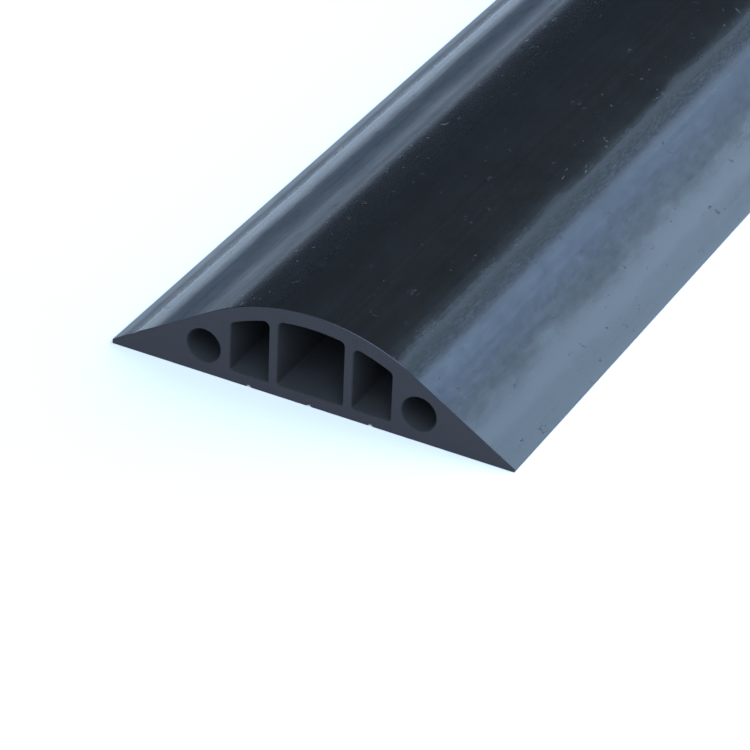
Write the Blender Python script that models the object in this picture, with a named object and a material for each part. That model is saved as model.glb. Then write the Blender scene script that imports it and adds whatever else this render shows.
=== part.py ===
"""Floor cord cover: one extruded rubber strip with channels for cords running through it.

Metres, +Z up. The strip lies flat along Y, and the origin is at the middle of its base.
Its section is drawn in the XZ plane, is the same along the whole length, and mirrors about X = 0.
"""

import math

import bmesh
import bpy

# Driving dimensions of the strip
LENGTH = 0.9144
WIDTH = 0.09525
HEIGHT = 0.0222
TIP_THICKNESS = 0.0009
CREST_RADIUS = 0.046
SHELL_THICKNESS = 0.0034
FLOOR_THICKNESS = 0.0027

# Three chambers side by side under the crest
CENTRE_CHAMBER_WIDTH = 0.0155
SIDE_CHAMBER_WIDTH = 0.0091
PARTITION_THICKNESS = 0.0021
CHAMBER_CORNER_RADIUS = 0.001

# One round bore through each ramp
BORE_RADIUS = 0.004
BORE_WALL = 0.0024

# Shallow vee grooves in the underside, one below each chamber
GROOVE_WIDTH = 0.0014
GROOVE_DEPTH = 0.0009

# Flat steps on each round stretch
CREST_STEPS = 36
CEILING_STEPS = 10
CORNER_STEPS = 4
BORE_STEPS = 32

# Places that follow from the dimensions above
HALF_WIDTH = WIDTH / 2
CREST_CENTRE_Z = HEIGHT - CREST_RADIUS
CEILING_RADIUS = CREST_RADIUS - SHELL_THICKNESS
SIDE_CHAMBER_INNER_X = CENTRE_CHAMBER_WIDTH / 2 + PARTITION_THICKNESS
SIDE_CHAMBER_OUTER_X = SIDE_CHAMBER_INNER_X + SIDE_CHAMBER_WIDTH
SIDE_CHAMBER_X = SIDE_CHAMBER_INNER_X + SIDE_CHAMBER_WIDTH / 2
BORE_X = SIDE_CHAMBER_OUTER_X + BORE_WALL + BORE_RADIUS
BORE_Z = FLOOR_THICKNESS + BORE_RADIUS

# Dark slate rubber, as linear colour
RUBBER_COLOUR = (0.028, 0.030, 0.037, 1.0)
RUBBER_ROUGHNESS = 0.45


def arc(centre, radius, start, end, steps):
    """Points of an arc in the XZ plane, both ends included. Angles are in radians from +X towards +Z."""
    angles = [start + (end - start) * i / steps for i in range(steps + 1)]
    return [(centre[0] + radius * math.cos(a), centre[1] + radius * math.sin(a)) for a in angles]


def ramp_tangent_angle():
    """The angle on the crest circle at which the flat ramp from the tip's top edge touches it."""
    tip_rise = TIP_THICKNESS - CREST_CENTRE_Z
    tip_distance = math.hypot(HALF_WIDTH, tip_rise)
    return math.atan2(tip_rise, HALF_WIDTH) + math.acos(CREST_RADIUS / tip_distance)


def groove(x):
    """The three points of one vee groove, from left to right."""
    return [(x - GROOVE_WIDTH / 2, 0), (x, GROOVE_DEPTH), (x + GROOVE_WIDTH / 2, 0)]


def outline():
    """The outer outline, anticlockwise from the left tip: base with its grooves, right tip, crest, left tip."""
    base = [(-HALF_WIDTH, 0)]
    for x in (-SIDE_CHAMBER_X, 0, SIDE_CHAMBER_X):
        base += groove(x)
    base.append((HALF_WIDTH, 0))
    touch = ramp_tangent_angle()
    crest = arc((0, CREST_CENTRE_Z), CREST_RADIUS, touch, math.pi - touch, CREST_STEPS)
    return base + [(HALF_WIDTH, TIP_THICKNESS)] + crest + [(-HALF_WIDTH, TIP_THICKNESS)]


def chamber(left, right):
    """A chamber between two upright walls, flat below and arched above, with all four corners rounded."""
    r = CHAMBER_CORNER_RADIUS
    floor_z = FLOOR_THICKNESS + r
    left_z = CREST_CENTRE_Z + math.sqrt((CEILING_RADIUS - r) ** 2 - (left + r) ** 2)
    right_z = CREST_CENTRE_Z + math.sqrt((CEILING_RADIUS - r) ** 2 - (right - r) ** 2)
    left_turn = math.atan2(left_z - CREST_CENTRE_Z, left + r)
    right_turn = math.atan2(right_z - CREST_CENTRE_Z, right - r)
    ceiling = arc((0, CREST_CENTRE_Z), CEILING_RADIUS, right_turn, left_turn, CEILING_STEPS)
    return (
        arc((left + r, floor_z), r, math.pi, 1.5 * math.pi, CORNER_STEPS)
        + arc((right - r, floor_z), r, 1.5 * math.pi, 2 * math.pi, CORNER_STEPS)
        + arc((right - r, right_z), r, 0, right_turn, CORNER_STEPS)
        + ceiling[1:-1]
        + arc((left + r, left_z), r, left_turn, math.pi, CORNER_STEPS)
    )


def bore(x):
    """A round bore, without its closing point."""
    return arc((x, BORE_Z), BORE_RADIUS, 0, 2 * math.pi, BORE_STEPS)[:-1]


def section():
    """Every closed loop of the section: the outline first, then the hollows."""
    half_centre = CENTRE_CHAMBER_WIDTH / 2
    return [
        outline(),
        chamber(-half_centre, half_centre),
        chamber(-SIDE_CHAMBER_OUTER_X, -SIDE_CHAMBER_INNER_X),
        chamber(SIDE_CHAMBER_INNER_X, SIDE_CHAMBER_OUTER_X),
        bore(-BORE_X),
        bore(BORE_X),
    ]


def extrude_section(mesh, loops, length):
    """Fills the loops as one face with holes, then extrudes it along Y, centred on Y = 0."""
    bm = bmesh.new()
    rim = []
    for loop in loops:
        verts = [bm.verts.new((x, -length / 2, z)) for x, z in loop]
        rim += [bm.edges.new(pair) for pair in zip(verts, verts[1:] + verts[:1])]
    bmesh.ops.triangle_fill(bm, use_beauty=True, edges=rim)
    grown = bmesh.ops.extrude_face_region(bm, geom=bm.faces[:])
    far_end = [v for v in grown["geom"] if isinstance(v, bmesh.types.BMVert)]
    bmesh.ops.translate(bm, verts=far_end, vec=(0, length, 0))
    bmesh.ops.recalc_face_normals(bm, faces=bm.faces[:])
    bm.to_mesh(mesh)
    bm.free()


def rubber():
    """Extruded rubber: dark slate, with a dull sheen."""
    material = bpy.data.materials.new("slate_rubber")
    material.use_nodes = True
    shader = material.node_tree.nodes["Principled BSDF"]
    shader.inputs["Base Color"].default_value = RUBBER_COLOUR
    shader.inputs["Roughness"].default_value = RUBBER_ROUGHNESS
    shader.inputs["Metallic"].default_value = 0.0
    return material


def cover_strip():
    """The whole cover, which is one extrusion."""
    mesh = bpy.data.meshes.new("cover_strip")
    extrude_section(mesh, section(), LENGTH)
    mesh.materials.append(rubber())
    mesh.shade_smooth()
    mesh.set_sharp_from_angle(angle=math.radians(20))
    strip = bpy.data.objects.new("cover_strip", mesh)
    bpy.context.scene.collection.objects.link(strip)
    return strip


def main():
    for old in list(bpy.data.objects):
        bpy.data.objects.remove(old)
    cover_strip()


main()
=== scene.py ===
"""Floor cord cover: one length of extruded slate-black rubber, lying on a pale floor.

Metres, +Z up. The strip lies along Y, and its end at -Y faces the camera.
"""

import math

import bmesh
import bpy
from mathutils import Matrix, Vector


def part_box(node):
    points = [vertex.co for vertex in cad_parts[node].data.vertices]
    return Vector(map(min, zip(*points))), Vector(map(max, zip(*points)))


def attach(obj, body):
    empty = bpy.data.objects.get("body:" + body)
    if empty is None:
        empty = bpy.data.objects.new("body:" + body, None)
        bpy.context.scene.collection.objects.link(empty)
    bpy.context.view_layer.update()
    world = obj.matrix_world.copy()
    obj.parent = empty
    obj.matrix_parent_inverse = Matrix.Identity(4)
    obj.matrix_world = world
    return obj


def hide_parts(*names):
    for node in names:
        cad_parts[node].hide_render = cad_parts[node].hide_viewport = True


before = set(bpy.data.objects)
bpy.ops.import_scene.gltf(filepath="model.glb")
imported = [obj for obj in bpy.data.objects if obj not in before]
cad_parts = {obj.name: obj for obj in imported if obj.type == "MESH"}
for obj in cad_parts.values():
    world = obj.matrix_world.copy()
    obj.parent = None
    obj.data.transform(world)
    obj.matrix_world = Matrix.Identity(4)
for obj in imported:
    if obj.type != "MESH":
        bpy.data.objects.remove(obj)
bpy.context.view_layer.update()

# The cover's outer skin. The real strip is black EPDM rubber, pushed hot through a steel die in one long
# length. It starts as a round bar for the crest, whose flat underside is then drawn down and out into the
# two ramps.
strip_low, strip_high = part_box("cover_strip")
LENGTH = strip_high.y - strip_low.y
HALF_WIDTH = strip_high.x
HEIGHT = strip_high.z
CREST_RADIUS = 0.046
CREST_CENTRE_Z = HEIGHT - CREST_RADIUS
CREST_SIDES = 288
TIP_THICKNESS = 0.0009
RAMP_STEPS = 47
# The left ramp's lip stands a little proud of its line, by these heights at these distances from the middle
LEFT_LIP_RISES = ((0.0350, 0.0), (0.0410, 0.00022), (0.0426, 0.00002), (0.0449, 0.00022), (0.0477, 0.00012))
# Places this close count as one, and a face with this much of an axis in its normal faces along it
NEARLY = 0.00001
FACING = 0.9
# Turns a cylinder to lie along the strip
LYING = (math.pi / 2, 0, 0)


def deselect_all():
    """Leaves nothing selected, so that the next operator acts only on what it adds or is given."""
    bpy.ops.object.select_all(action="DESELECT")


def round_bar(x, z, radius, sides, length):
    """A round bar that lies along the strip, with its middle at the strip's middle."""
    deselect_all()
    bpy.ops.mesh.primitive_cylinder_add(
        vertices=sides, radius=radius, depth=length, location=(x, 0, z), rotation=LYING)
    bpy.ops.object.transform_apply(location=True, rotation=True, scale=True)
    return bpy.context.object


def edit(piece):
    """Opens one object in edit mode."""
    deselect_all()
    piece.select_set(True)
    bpy.context.view_layer.objects.active = piece
    bpy.ops.object.mode_set(mode="EDIT")


def leave_edit():
    """Goes back to object mode."""
    bpy.ops.object.mode_set(mode="OBJECT")


def pick(kind, test):
    """Selects only those verts, edges or faces of the edited mesh that pass the test."""
    bpy.ops.mesh.select_all(action="DESELECT")
    bpy.ops.mesh.select_mode(type={"verts": "VERT", "edges": "EDGE", "faces": "FACE"}[kind])
    mesh = bpy.context.object.data
    bm = bmesh.from_edit_mesh(mesh)
    bm.normal_update()
    for item in getattr(bm, kind):
        if test(item):
            item.select_set(True)
    bmesh.update_edit_mesh(mesh)


def bisect(point, normal, **options):
    """Cuts the whole edited mesh along a plane."""
    bpy.ops.mesh.select_all(action="SELECT")
    bpy.ops.mesh.bisect(plane_co=point, plane_no=normal, **options)


def lip_rise(distance):
    """How far the left ramp stands proud at a distance from the middle, in straight lines between pairs."""
    for (start, low), (end, high) in zip(LEFT_LIP_RISES, LEFT_LIP_RISES[1:]):
        if start <= distance <= end:
            return low + (high - low) * (distance - start) / (end - start)
    return 0.0


def ramp_start():
    """Distance from the middle and height of the place where the flat ramp touches the round crest."""
    rise = TIP_THICKNESS - CREST_CENTRE_Z
    turn = math.atan2(rise, HALF_WIDTH) + math.acos(CREST_RADIUS / math.hypot(HALF_WIDTH, rise))
    return CREST_RADIUS * math.cos(turn), CREST_CENTRE_Z + CREST_RADIUS * math.sin(turn)


start_x, start_z = ramp_start()
step_x = (HALF_WIDTH - start_x) / RAMP_STEPS
step_z = (start_z - TIP_THICKNESS) / RAMP_STEPS
cover = round_bar(0, CREST_CENTRE_Z, CREST_RADIUS, CREST_SIDES, LENGTH)
cover.name = "rubber_cover"
edit(cover)
bisect((0, 0, start_z), (0, 0, 1), use_fill=True, clear_inner=True)
pick("faces", lambda face: face.normal.z < -FACING)
for i in range(RAMP_STEPS):
    x = start_x + step_x * i
    bpy.ops.mesh.extrude_region_move(TRANSFORM_OT_translate={"value": (0, 0, -step_z)})
    bpy.ops.transform.resize(value=((x + step_x) / x, 1, 1), center_override=(0, 0, 0))
bpy.ops.mesh.extrude_region_move(TRANSFORM_OT_translate={"value": (0, 0, -TIP_THICKNESS)})
for i in range(RAMP_STEPS + 1):
    x = start_x + step_x * i
    z = start_z - step_z * i
    if lip_rise(x) > 0:
        pick("verts", lambda vert: abs(vert.co.x + x) < NEARLY and vert.co.z > z - NEARLY)
        bpy.ops.transform.translate(value=(0, 0, lip_rise(x)))

# Its two ends. The length is cut off square with a blade, which leaves a flat face with a barely broken edge.
BROKEN_EDGE = 0.00018
for side in (-1, 1):
    pick("faces", lambda face: face.normal.y * side > FACING)
    bpy.ops.mesh.dissolve_faces()
pick("edges", lambda edge: all(abs(vert.co.y) > LENGTH / 2 - NEARLY for vert in edge.verts))
bpy.ops.mesh.bevel(offset=BROKEN_EDGE, segments=3, affect="EDGES")
leave_edit()

# Its channels. The die's cores leave three flat-bottomed chambers under the crest, whose ceilings run
# parallel to it, and a round bore through each ramp. Each is cut out by a bar of its own section, wider at
# the mouths.
FLOOR_THICKNESS = 0.0027
SHELL_THICKNESS = 0.0034
CEILING_RADIUS = CREST_RADIUS - SHELL_THICKNESS
CENTRE_CHAMBER_EDGE = 0.00775
PARTITION_THICKNESS = 0.0021
SIDE_CHAMBER_WIDTH = 0.0091
SIDE_CHAMBER_START = CENTRE_CHAMBER_EDGE + PARTITION_THICKNESS
SIDE_CHAMBER_END = SIDE_CHAMBER_START + SIDE_CHAMBER_WIDTH
FLOOR_CORNER = 0.0007
CEILING_CORNER = 0.0013
ARCH_STEPS = 12
ROD_SIDES = 32
BORE_WALL = 0.0024
BORE_RADIUS = 0.004
BORE_X = SIDE_CHAMBER_END + BORE_WALL + BORE_RADIUS
BORE_Z = FLOOR_THICKNESS + BORE_RADIUS
BORE_SIDES = 64
BAR_OVERHANG = 0.01
BAR_LENGTH = LENGTH + 2 * BAR_OVERHANG


def cut_out(bar):
    """Cuts the bar's shape out of the cover, and uses the bar up."""
    modifier = cover.modifiers.new("cut_out", "BOOLEAN")
    modifier.operation = "DIFFERENCE"
    modifier.solver = "EXACT"
    modifier.object = bar
    bpy.context.view_layer.objects.active = cover
    bpy.ops.object.modifier_apply(modifier=modifier.name)
    bpy.data.objects.remove(bar)


def chamber_bar(left, right):
    """A bar with upright sides, flat bottom, arched top and rounded long edges, shrunk round thin rods."""
    floor_z = FLOOR_THICKNESS + FLOOR_CORNER
    rods = [(left + FLOOR_CORNER, floor_z, FLOOR_CORNER), (right - FLOOR_CORNER, floor_z, FLOOR_CORNER)]
    arch_radius = CEILING_RADIUS - CEILING_CORNER
    for i in range(ARCH_STEPS + 1):
        x = left + CEILING_CORNER + (right - left - 2 * CEILING_CORNER) * i / ARCH_STEPS
        rods.append((x, CREST_CENTRE_Z + math.sqrt(arch_radius ** 2 - x ** 2), CEILING_CORNER))
    bar = round_bar(*rods[0], ROD_SIDES, BAR_LENGTH)
    edit(bar)
    for x, z, radius in rods[1:]:
        bpy.ops.mesh.primitive_cylinder_add(
            vertices=ROD_SIDES, radius=radius, depth=BAR_LENGTH, location=(x, 0, z), rotation=LYING)
    bpy.ops.mesh.select_all(action="SELECT")
    bpy.ops.mesh.convex_hull()
    leave_edit()
    return bar


def flare_mouths(bar):
    """Widens the bar where it comes out of the strip, so that the hole's edge is broken there."""
    width, _, height = bar.dimensions
    low, high = bar.bound_box[0], bar.bound_box[6]
    middle = [(a + b) / 2 for a, b in zip(low, high)]
    edit(bar)
    for side in (-1, 1):
        bisect((0, side * (LENGTH / 2 - BROKEN_EDGE), 0), (0, 1, 0))
        bisect((0, side * LENGTH / 2, 0), (0, 1, 0))
        pick("verts", lambda vert: vert.co.y * side > LENGTH / 2 - NEARLY)
        bpy.ops.transform.resize(
            value=(1 + 2 * BROKEN_EDGE / width, 1, 1 + 2 * BROKEN_EDGE / height), center_override=middle)
    leave_edit()


bars = [
    chamber_bar(-CENTRE_CHAMBER_EDGE, CENTRE_CHAMBER_EDGE),
    chamber_bar(-SIDE_CHAMBER_END, -SIDE_CHAMBER_START),
    chamber_bar(SIDE_CHAMBER_START, SIDE_CHAMBER_END),
    round_bar(-BORE_X, BORE_Z, BORE_RADIUS, BORE_SIDES, BAR_LENGTH),
    round_bar(BORE_X, BORE_Z, BORE_RADIUS, BORE_SIDES, BAR_LENGTH),
]
for bar in bars:
    flare_mouths(bar)
    cut_out(bar)

# Its grooves. Three shallow vees run along the underside, one below each chamber, where the strip can flex or
# be slit open. A four-sided bar cuts each.
GROOVE_HALF_WIDTH = 0.0007
GROOVE_DEPTH = 0.0009
side_chamber_x = (SIDE_CHAMBER_START + SIDE_CHAMBER_END) / 2
for x in (-side_chamber_x, 0, side_chamber_x):
    bar = round_bar(0, 0, GROOVE_DEPTH, 4, BAR_LENGTH)
    bar.scale.x = GROOVE_HALF_WIDTH / GROOVE_DEPTH
    bar.location.x = x
    bpy.ops.object.transform_apply(location=True, rotation=True, scale=True)
    cut_out(bar)

# Its surface is smooth along the length, with hard lines only at the tips, the cut ends and the vees
SMOOTH_BELOW = math.radians(24)
deselect_all()
cover.select_set(True)
bpy.context.view_layer.objects.active = cover
bpy.ops.object.shade_smooth_by_angle(angle=SMOOTH_BELOW)
weights = cover.modifiers.new("flat_faces_lead", "WEIGHTED_NORMAL")
weights.keep_sharp = True
bpy.ops.object.modifier_apply(modifier=weights.name)

# The skin's finish: extruded EPDM. The die polishes some bands of it and drags on others, much alike on both
# ramps, so the black rubber shows long satin and matt stripes. Fine draw lines run along it, a thin bloom of
# wax clouds it and looks blue at a low angle, and handling has left marks and rubbed lines.
EPDM_IOR = 1.52


def linear(hex_colour):
    """An sRGB hex colour as the linear values that Blender's sockets take."""
    parts = [int(hex_colour[i:i + 2], 16) / 255 for i in (1, 3, 5)]
    return [c / 12.92 if c <= 0.04045 else ((c + 0.055) / 1.055) ** 2.4 for c in parts] + [1]


def add_node(tree, kind, inputs=None, **settings):
    """Adds a node with its settings. An input takes a value, or a node or socket that feeds it."""
    node = tree.nodes.new(kind)
    for name, value in settings.items():
        setattr(node, name, value)
    open_sockets = [s for s in node.inputs if not s.is_unavailable]
    for key, value in (inputs or {}).items():
        socket = open_sockets[key] if isinstance(key, int) else next(s for s in open_sockets if s.name == key)
        if isinstance(value, bpy.types.Node):
            value = next(s for s in value.outputs if not s.is_unavailable)
        if isinstance(value, bpy.types.NodeSocket):
            tree.links.new(value, socket)
        else:
            socket.default_value = value
    return node


def add_share(tree, total, extra, amount):
    """Adds a share of one value, less its mean of a half, to another."""
    swing = add_node(tree, "ShaderNodeMath", {0: extra, 1: 0.5}, operation="SUBTRACT")
    return add_node(tree, "ShaderNodeMath", {0: swing, 1: amount, 2: total}, operation="MULTIPLY_ADD")


def start_epdm(name):
    """Starts a material of EPDM. Gives it, its nodes, its shader and the place on the piece."""
    material = bpy.data.materials.new(name)
    material.use_nodes = True
    tree = material.node_tree
    shader = tree.nodes["Principled BSDF"]
    shader.inputs["IOR"].default_value = EPDM_IOR
    place = add_node(tree, "ShaderNodeTexCoord").outputs["Object"]
    return material, tree, shader, place


skin, tree, shader, place = start_epdm("extruded_epdm_skin")
shader.inputs["Specular Tint"].default_value = linear("#d6ecff")
shader.inputs["Sheen Weight"].default_value = 0.05
shader.inputs["Sheen Roughness"].default_value = 0.3
shader.inputs["Sheen Tint"].default_value = linear("#5fb0f8")
split = add_node(tree, "ShaderNodeSeparateXYZ", {"Vector": place})
across, along = split.outputs["X"], split.outputs["Y"]

# Draw lines about 1 mm wide and 100 mm long, slow waves of 9 by 25 mm, bloom in clouds of 8 by 15 mm and in
# blotches of 2 by 5 mm, and a grain of 0.5 mm
stretched = add_node(tree, "ShaderNodeMapping", {"Vector": place, "Scale": (1000, 10, 1000)})
draw_lines = add_node(tree, "ShaderNodeTexNoise", {"Vector": stretched, "Scale": 1.0, "Detail": 4.0})
clouds_at = add_node(tree, "ShaderNodeMapping", {"Vector": place, "Scale": (120, 65, 120)})
clouds = add_node(tree, "ShaderNodeTexNoise", {
    "Vector": clouds_at, "Scale": 1.0, "Detail": 6.0, "Roughness": 0.65, "Distortion": 0.5})
waves_at = add_node(tree, "ShaderNodeMapping", {"Vector": place, "Scale": (110, 40, 110)})
waves = add_node(tree, "ShaderNodeTexNoise", {
    "Vector": waves_at, "Scale": 1.0, "Detail": 3.0, "Roughness": 0.55})
blotches_at = add_node(tree, "ShaderNodeMapping", {"Vector": place, "Scale": (450, 200, 450)})
blotches = add_node(tree, "ShaderNodeTexNoise", {
    "Vector": blotches_at, "Scale": 1.0, "Detail": 4.0, "Roughness": 0.5, "Distortion": 0.6})
grain = add_node(tree, "ShaderNodeTexNoise", {"Vector": place, "Scale": 1800.0, "Detail": 3.0})

# Gloss across the strip: pairs of a distance from the middle and the roughness there, alike on both sides.
# The bands sway with the slow waves, by up to 1.5 mm on the right.
GLOSS_BANDS = ((0.0, 0.33), (0.0080, 0.28), (0.0175, 0.20), (0.0193, 0.23), (0.0216, 0.37), (0.0232, 0.38),
               (0.0250, 0.42), (0.0290, 0.54), (0.0330, 0.58), (0.0370, 0.32), (0.0410, 0.21), (0.0430, 0.27),
               (0.0476, 0.27))
from_middle = add_node(tree, "ShaderNodeMath", {0: across}, operation="ABSOLUTE")
sway = add_node(tree, "ShaderNodeMapRange", {
    "Value": across, "From Min": -0.020, "From Max": 0.020, "To Min": 0.002, "To Max": 0.007})
wave_swing = add_node(tree, "ShaderNodeMath", {0: waves, 1: 0.5}, operation="SUBTRACT")
swayed = add_node(tree, "ShaderNodeMath", {0: wave_swing, 1: sway, 2: from_middle}, operation="MULTIPLY_ADD")
share = add_node(tree, "ShaderNodeMath", {0: swayed, 1: HALF_WIDTH}, operation="DIVIDE")
bands = add_node(tree, "ShaderNodeFloatCurve", {"Value": share})
curve = bands.mapping.curves[0]
for point, (distance, gloss) in zip((curve.points[0], curve.points[1]), (GLOSS_BANDS[0], GLOSS_BANDS[-1])):
    point.location = (distance / HALF_WIDTH, gloss)
for distance, gloss in GLOSS_BANDS[1:-1]:
    curve.points.new(distance / HALF_WIDTH, gloss)
bands.mapping.update()

# What one side has alone, from one place across to another and by how much it is rougher: the right ramp is
# glossier as far as its duller tip, and the left lip is dull
SIDE_CHANGES = ((0.0240, 0.0265, -0.17), (0.0320, 0.0380, 0.15), (-0.0420, -0.0440, 0.05))
band_gloss = bands
for start, end, rougher_by in SIDE_CHANGES:
    change = add_node(tree, "ShaderNodeMapRange", {
        "Value": across, "From Min": start, "From Max": end, "To Min": 0.0, "To Max": rougher_by})
    band_gloss = add_node(tree, "ShaderNodeMath", {0: band_gloss, 1: change}, operation="ADD")

# Flecks where things have brushed across it, about 1 by 4 mm, slanting over the strip
SLANT = math.radians(60)
brushed = add_node(tree, "ShaderNodeMapping", {
    "Vector": place, "Rotation": (0, 0, SLANT), "Scale": (900, 260, 900)})
flecks = add_node(tree, "ShaderNodeTexNoise", {
    "Vector": brushed, "Scale": 1.0, "Detail": 4.0, "Roughness": 0.6, "Distortion": 0.8})
flecks = add_node(tree, "ShaderNodeMapRange", {"Value": flecks, "From Min": 0.54, "From Max": 0.72})

# The rubbed lines: short bright and dark dashes, on the right near the end that faces out and along the left
# lip, and beside the right one a duller, scuffed line where the ramp leaves the crest
SCUFFED_LINE = 0.0228
RIGHT_LINE = 0.0217
LEFT_LINE = -0.0420
NEAR_END_REACH = 0.12


def stripe(tree, across, line, full, gone, strength):
    """A stripe along a line, at full strength up to one distance from it and gone at another."""
    offset = add_node(tree, "ShaderNodeMath", {0: across, 1: line}, operation="SUBTRACT")
    offset = add_node(tree, "ShaderNodeMath", {0: offset}, operation="ABSOLUTE")
    return add_node(tree, "ShaderNodeMapRange", {
        "Value": offset, "From Min": full, "From Max": gone, "To Min": strength, "To Max": 0.0})


dashes_at = add_node(tree, "ShaderNodeMapping", {"Vector": place, "Scale": (2000, 450, 2000)})
dashes = add_node(tree, "ShaderNodeTexNoise", {
    "Vector": dashes_at, "Scale": 1.0, "Detail": 5.0, "Roughness": 0.8, "Distortion": 0.6})
dashes = add_node(tree, "ShaderNodeMapRange", {"Value": dashes, "From Min": 0.35, "From Max": 0.65})
scuff = stripe(tree, across, SCUFFED_LINE, 0.0008, 0.0026, 0.65)
scuff = add_node(tree, "ShaderNodeMath", {0: scuff, 1: dashes}, operation="MULTIPLY")
near_end = add_node(tree, "ShaderNodeMapRange", {
    "Value": along, "From Min": strip_low.y, "From Max": strip_low.y + NEAR_END_REACH,
    "To Min": 1.0, "To Max": 0.3})
in_patches = add_node(tree, "ShaderNodeMapRange", {
    "Value": clouds, "From Min": 0.42, "From Max": 0.62, "To Min": 0.2, "To Max": 1.6})
right_line = stripe(tree, across, RIGHT_LINE, 0.0004, 0.0032, 1.0)
right_line = add_node(tree, "ShaderNodeMath", {0: right_line, 1: near_end}, operation="MULTIPLY")
right_line = add_node(tree, "ShaderNodeMath", {0: right_line, 1: in_patches}, operation="MULTIPLY")
left_line = stripe(tree, across, LEFT_LINE, 0.0003, 0.0010, 1.5)
rubbed = add_node(tree, "ShaderNodeMath", {0: right_line, 1: left_line}, operation="ADD")
dash_swing = add_node(tree, "ShaderNodeMath", {0: dashes, 1: 0.5}, operation="SUBTRACT")
rubbing = add_node(tree, "ShaderNodeMath", {0: dash_swing, 1: rubbed}, operation="MULTIPLY")

# Marks, each with its own strength and chipped, on wavering coordinates so that no two are alike: dents up to
# 2 mm across, scratches 1 or 2 mm long and small nicks. The numbers are cells in a metre, across and along,
# and the share of its cell that a mark reaches over.
MARKS = ((140, 140, 0.14), (250, 60, 0.05), (330, 220, 0.11))
waver = add_node(tree, "ShaderNodeTexNoise", {"Vector": place, "Scale": 90.0, "Detail": 4.0})
waver = add_node(tree, "ShaderNodeVectorMath", {
    0: waver.outputs["Color"], 1: (0.012, 0.012, 0.0), 2: place}, operation="MULTIPLY_ADD")
chips = add_node(tree, "ShaderNodeTexNoise", {"Vector": place, "Scale": 1300.0, "Detail": 2.0})
chips = add_node(tree, "ShaderNodeMapRange", {"Value": chips, "From Min": 0.48, "From Max": 0.62})
marks = 0.0
for cells_across, cells_along, reach in MARKS:
    cells_at = add_node(tree, "ShaderNodeMapping", {
        "Vector": waver, "Rotation": (0, 0, SLANT), "Scale": (cells_across, cells_along, 1)})
    cells = add_node(tree, "ShaderNodeTexVoronoi", {
        "Vector": cells_at, "Scale": 1.0}, voronoi_dimensions="2D")
    spots = add_node(tree, "ShaderNodeMapRange", {
        "Value": cells.outputs["Distance"], "From Min": reach / 3, "From Max": reach,
        "To Min": 1.0, "To Max": 0.0})
    strength = add_node(tree, "ShaderNodeMapRange", {
        "Value": cells.outputs["Color"], "From Min": 0.6, "From Max": 1.0})
    spots = add_node(tree, "ShaderNodeMath", {0: spots, 1: strength}, operation="MULTIPLY")
    marks = add_node(tree, "ShaderNodeMath", {0: spots, 1: chips, 2: marks}, operation="MULTIPLY_ADD")

# Roughness: the bands, made uneven by the draw lines, clouds, blotches, grain and flecks. The blotches are
# strongest in the middle of the right ramp. Scuffs and marks are duller, and rubbing polishes.
DRAW_LINE_SHARE = 0.35
CLOUD_SHARE = 0.35
FINE_SHARE = 0.4
RUBBED_POLISH = -0.5
MARK_DULLNESS = 0.4
variation = add_share(tree, 1.0, draw_lines, DRAW_LINE_SHARE)
variation = add_share(tree, variation, clouds, CLOUD_SHARE)
blotched = add_node(tree, "ShaderNodeMapRange", {
    "Value": across, "From Min": 0.0230, "From Max": 0.0310, "To Min": 0.25, "To Max": 0.7})
blotched_tip = add_node(tree, "ShaderNodeMapRange", {
    "Value": across, "From Min": 0.0340, "From Max": 0.0400, "To Min": 0.0, "To Max": -0.6})
blotched = add_node(tree, "ShaderNodeMath", {0: blotched, 1: blotched_tip}, operation="ADD")
variation = add_share(tree, variation, blotches, blotched)
fine_share = add_node(tree, "ShaderNodeMath", {0: blotched, 1: FINE_SHARE}, operation="MULTIPLY")
variation = add_share(tree, variation, grain, fine_share)
variation = add_node(tree, "ShaderNodeMath", {
    0: flecks, 1: fine_share, 2: variation}, operation="MULTIPLY_ADD")
roughness = add_node(tree, "ShaderNodeMath", {
    0: band_gloss, 1: variation, 2: scuff}, operation="MULTIPLY_ADD")
roughness = add_node(tree, "ShaderNodeMath", {
    0: rubbing, 1: RUBBED_POLISH, 2: roughness}, operation="MULTIPLY_ADD")
roughness = add_node(tree, "ShaderNodeMath", {
    0: marks, 1: MARK_DULLNESS, 2: roughness}, operation="MULTIPLY_ADD")
roughness = add_node(tree, "ShaderNodeClamp", {"Value": roughness, "Min": 0.12, "Max": 0.8})
tree.links.new(roughness.outputs[0], shader.inputs["Roughness"])

# Colour: near black, and grey in the marks. Just past the crest on the right it is a touch bluer: a painted
# reflection tint, standing in for the bluer shine of the lights on that ramp.
tone = add_share(tree, clouds, draw_lines, 0.5)
tone = add_node(tree, "ShaderNodeMath", {0: rubbing, 1: 0.6, 2: tone}, operation="MULTIPLY_ADD")
black = add_node(tree, "ShaderNodeMix", {
    0: tone, "A": linear("#141413"), "B": linear("#1c1c1c")}, data_type="RGBA")
# Painted reflection tint: a bluer base colour across the right ramp, from 23.5 to 35 mm out
painted_blue_rise = add_node(tree, "ShaderNodeMapRange", {
    "Value": across, "From Min": 0.0235, "From Max": 0.0275, "To Min": 0.0, "To Max": 1.0})
painted_blue_fall = add_node(tree, "ShaderNodeMapRange", {
    "Value": across, "From Min": 0.0285, "From Max": 0.0350, "To Min": 1.0, "To Max": 0.0})
painted_blue_share = add_node(tree, "ShaderNodeMath", {0: painted_blue_rise, 1: painted_blue_fall}, operation="MULTIPLY")
with_painted_blue = add_node(tree, "ShaderNodeMix", {
    0: painted_blue_share, "A": black.outputs[2], "B": linear("#161b27")}, data_type="RGBA")
worn = add_node(tree, "ShaderNodeMix", {
    0: marks, "A": with_painted_blue.outputs[2], "B": linear("#2e2f32")}, data_type="RGBA")
tree.links.new(worn.outputs[2], shader.inputs["Base Color"])

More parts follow.
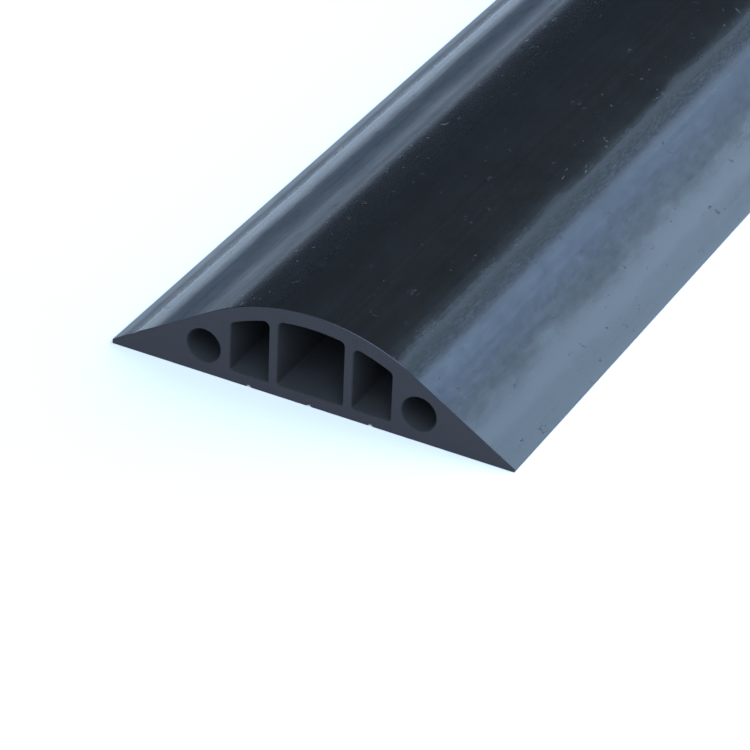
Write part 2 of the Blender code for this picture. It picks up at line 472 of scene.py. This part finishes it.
# Relief, with the depth of each part of it
DRAW_LINE_DEPTH = 0.000006
GRAIN_DEPTH = 0.0000005
RUBBING_DEPTH = 0.000025
MARK_DEPTH = 0.00006
relief = add_node(tree, "ShaderNodeMath", {0: draw_lines, 1: DRAW_LINE_DEPTH}, operation="MULTIPLY")
relief = add_node(tree, "ShaderNodeMath", {0: grain, 1: GRAIN_DEPTH, 2: relief}, operation="MULTIPLY_ADD")
relief = add_node(tree, "ShaderNodeMath", {0: rubbing, 1: RUBBING_DEPTH, 2: relief}, operation="MULTIPLY_ADD")
relief = add_node(tree, "ShaderNodeMath", {0: marks, 1: -MARK_DEPTH, 2: relief}, operation="MULTIPLY_ADD")
bump = add_node(tree, "ShaderNodeBump", {"Height": relief, "Distance": 1.0})
tree.links.new(bump.outputs[0], shader.inputs["Normal"])

# The walls of the channels and the underside: EPDM that no polished steel has touched, dusted with talc so
# that it doesn't stick. It is black and quite matt, with the same draw lines.
WALL_LINE_DEPTH = 0.00001
core, tree, shader, place = start_epdm("talc_dusted_epdm")
stretched = add_node(tree, "ShaderNodeMapping", {"Vector": place, "Scale": (1200, 15, 1200)})
draw_lines = add_node(tree, "ShaderNodeTexNoise", {"Vector": stretched, "Scale": 1.0, "Detail": 3.0})
dust = add_node(tree, "ShaderNodeTexNoise", {"Vector": place, "Scale": 150.0, "Detail": 4.0})
tone = add_share(tree, dust, draw_lines, 0.6)
grey = add_node(tree, "ShaderNodeMix", {
    0: tone, "A": linear("#121316"), "B": linear("#1b1c20")}, data_type="RGBA")
tree.links.new(grey.outputs[2], shader.inputs["Base Color"])
roughness = add_node(tree, "ShaderNodeMapRange", {"Value": dust, "To Min": 0.75, "To Max": 0.95})
tree.links.new(roughness.outputs[0], shader.inputs["Roughness"])
relief = add_node(tree, "ShaderNodeMath", {0: draw_lines, 1: WALL_LINE_DEPTH}, operation="MULTIPLY")
bump = add_node(tree, "ShaderNodeBump", {"Height": relief, "Distance": 1.0})
tree.links.new(bump.outputs[0], shader.inputs["Normal"])

# The ends: EPDM cut through with a blade. The raw rubber is matt and a little paler than the skin, with
# faint drag lines where the blade went across it.
DRAG_LINE_DEPTH = 0.00002
BLADE_SLANT = math.radians(8)
cut, tree, shader, place = start_epdm("blade_cut_epdm")
blade_path = add_node(tree, "ShaderNodeMapping", {
    "Vector": place, "Rotation": (0, BLADE_SLANT, 0), "Scale": (30, 1, 1800)})
drag_lines = add_node(tree, "ShaderNodeTexNoise", {"Vector": blade_path, "Scale": 1.0, "Detail": 3.0})
clouds = add_node(tree, "ShaderNodeTexNoise", {"Vector": place, "Scale": 220.0, "Detail": 4.0})
tone = add_share(tree, clouds, drag_lines, 0.7)
grey = add_node(tree, "ShaderNodeMix", {
    0: tone, "A": linear("#1b1920"), "B": linear("#221f27")}, data_type="RGBA")
tree.links.new(grey.outputs[2], shader.inputs["Base Color"])
roughness = add_node(tree, "ShaderNodeMapRange", {"Value": clouds, "To Min": 0.65, "To Max": 0.85})
tree.links.new(roughness.outputs[0], shader.inputs["Roughness"])
relief = add_node(tree, "ShaderNodeMath", {0: drag_lines, 1: DRAG_LINE_DEPTH}, operation="MULTIPLY")
bump = add_node(tree, "ShaderNodeBump", {"Height": relief, "Distance": 1.0})
tree.links.new(bump.outputs[0], shader.inputs["Normal"])

# Which face has which finish. What lies deeper than this under the outer skin is a wall or the underside.
SKIN_DEPTH = 0.0012


def skin_height(x):
    """Height of the outer skin above a place on the floor, near enough to tell it from the channels."""
    if abs(x) < start_x:
        return CREST_CENTRE_Z + math.sqrt(CREST_RADIUS ** 2 - x ** 2)
    return start_z - (abs(x) - start_x) * step_z / step_x


def is_inside(face):
    """Whether a face belongs to a channel's wall or the underside."""
    middle = face.calc_center_median()
    return skin_height(middle.x) - middle.z > SKIN_DEPTH


for material in (skin, core, cut):
    cover.data.materials.append(material)
edit(cover)
pick("faces", is_inside)
cover.active_material_index = 1
bpy.ops.object.material_slot_assign()
pick("faces", lambda face: abs(face.normal.y) > FACING)
cover.active_material_index = 2
bpy.ops.object.material_slot_assign()
leave_edit()

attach(cover, "root")
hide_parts("cover_strip")

# The floor is a plain pale studio sheet, far wider than any view of the strip, and a hair below its underside
FLOOR_SIZE = 16
FLOOR_DROP = 0.00002
deselect_all()
bpy.ops.mesh.primitive_plane_add(size=FLOOR_SIZE, location=(0, 0, -FLOOR_DROP))
floor = bpy.context.object
floor.name = "studio_floor"
bpy.ops.object.transform_apply(location=True, rotation=True, scale=True)
paper = bpy.data.materials.new("matte_white_paper")
paper.use_nodes = True
shader = paper.node_tree.nodes["Principled BSDF"]
shader.inputs["Base Color"].default_value = linear("#d9d9d9")
shader.inputs["Roughness"].default_value = 0.9
shader.inputs["Specular IOR Level"].default_value = 0.0
floor.data.materials.append(paper)

# The lights are large soft boxes far away, so the whole length shows the same bands of light. Both are
# daylight blue: one behind makes the ramps shine, and one in front, higher up, lights the cut end and the
# channels. The rest of the studio is dim.
DAYLIGHT = (1.0, 1.24, 1.54)
DIM_DAYLIGHT = (0.027, 0.033, 0.042, 1)


def soft_box(name, azimuth, elevation, width, brightness):
    """A round soft box: where it stands and how wide it looks, in degrees, and how bright it looks."""
    light = bpy.data.lights.new(name, "SUN")
    light.angle = math.radians(width)
    light.color = DAYLIGHT
    light.energy = brightness * math.pi * math.sin(light.angle / 2) ** 2
    lamp = bpy.data.objects.new(name, light)
    lamp.rotation_euler = (math.radians(90 - elevation), 0, math.radians(azimuth))
    bpy.context.scene.collection.objects.link(lamp)


soft_box("soft_box_behind_right", 123.3, 24.3, 73.8, 3.25)
soft_box("soft_box_front", 28, 52, 62, 4.55)
world = bpy.data.worlds.new("dim_studio")
world.use_nodes = True
world.node_tree.nodes["Background"].inputs["Color"].default_value = DIM_DAYLIGHT
bpy.context.scene.world = world
bpy.context.scene.view_settings.view_transform = "Standard"

# The camera stands where the photograph's did, off the near end on the right, and looks slightly past it
CAMERA_AZIMUTH = math.radians(27.61)
CAMERA_ELEVATION = math.radians(33.29)
CAMERA_DISTANCE = 0.79575
AIM_AZIMUTH = math.radians(26.453)
AIM_ELEVATION = math.radians(32.779)
ROLL = math.radians(2.5)
FOCAL_LENGTH = 183.77
SENSOR_WIDTH = 36
level_distance = CAMERA_DISTANCE * math.cos(CAMERA_ELEVATION)
stand = Matrix.Translation((
    level_distance * math.sin(CAMERA_AZIMUTH),
    strip_low.y - level_distance * math.cos(CAMERA_AZIMUTH),
    CAMERA_DISTANCE * math.sin(CAMERA_ELEVATION)))
camera_data = bpy.data.cameras.new("camera")
camera_data.sensor_width = SENSOR_WIDTH
camera_data.lens = FOCAL_LENGTH
camera = bpy.data.objects.new("camera", camera_data)
camera.matrix_world = (
    stand @ Matrix.Rotation(AIM_AZIMUTH, 4, "Z") @ Matrix.Rotation(math.pi / 2 - AIM_ELEVATION, 4, "X")
    @ Matrix.Rotation(ROLL, 4, "Z"))
bpy.context.scene.collection.objects.link(camera)
bpy.context.scene.camera = camera
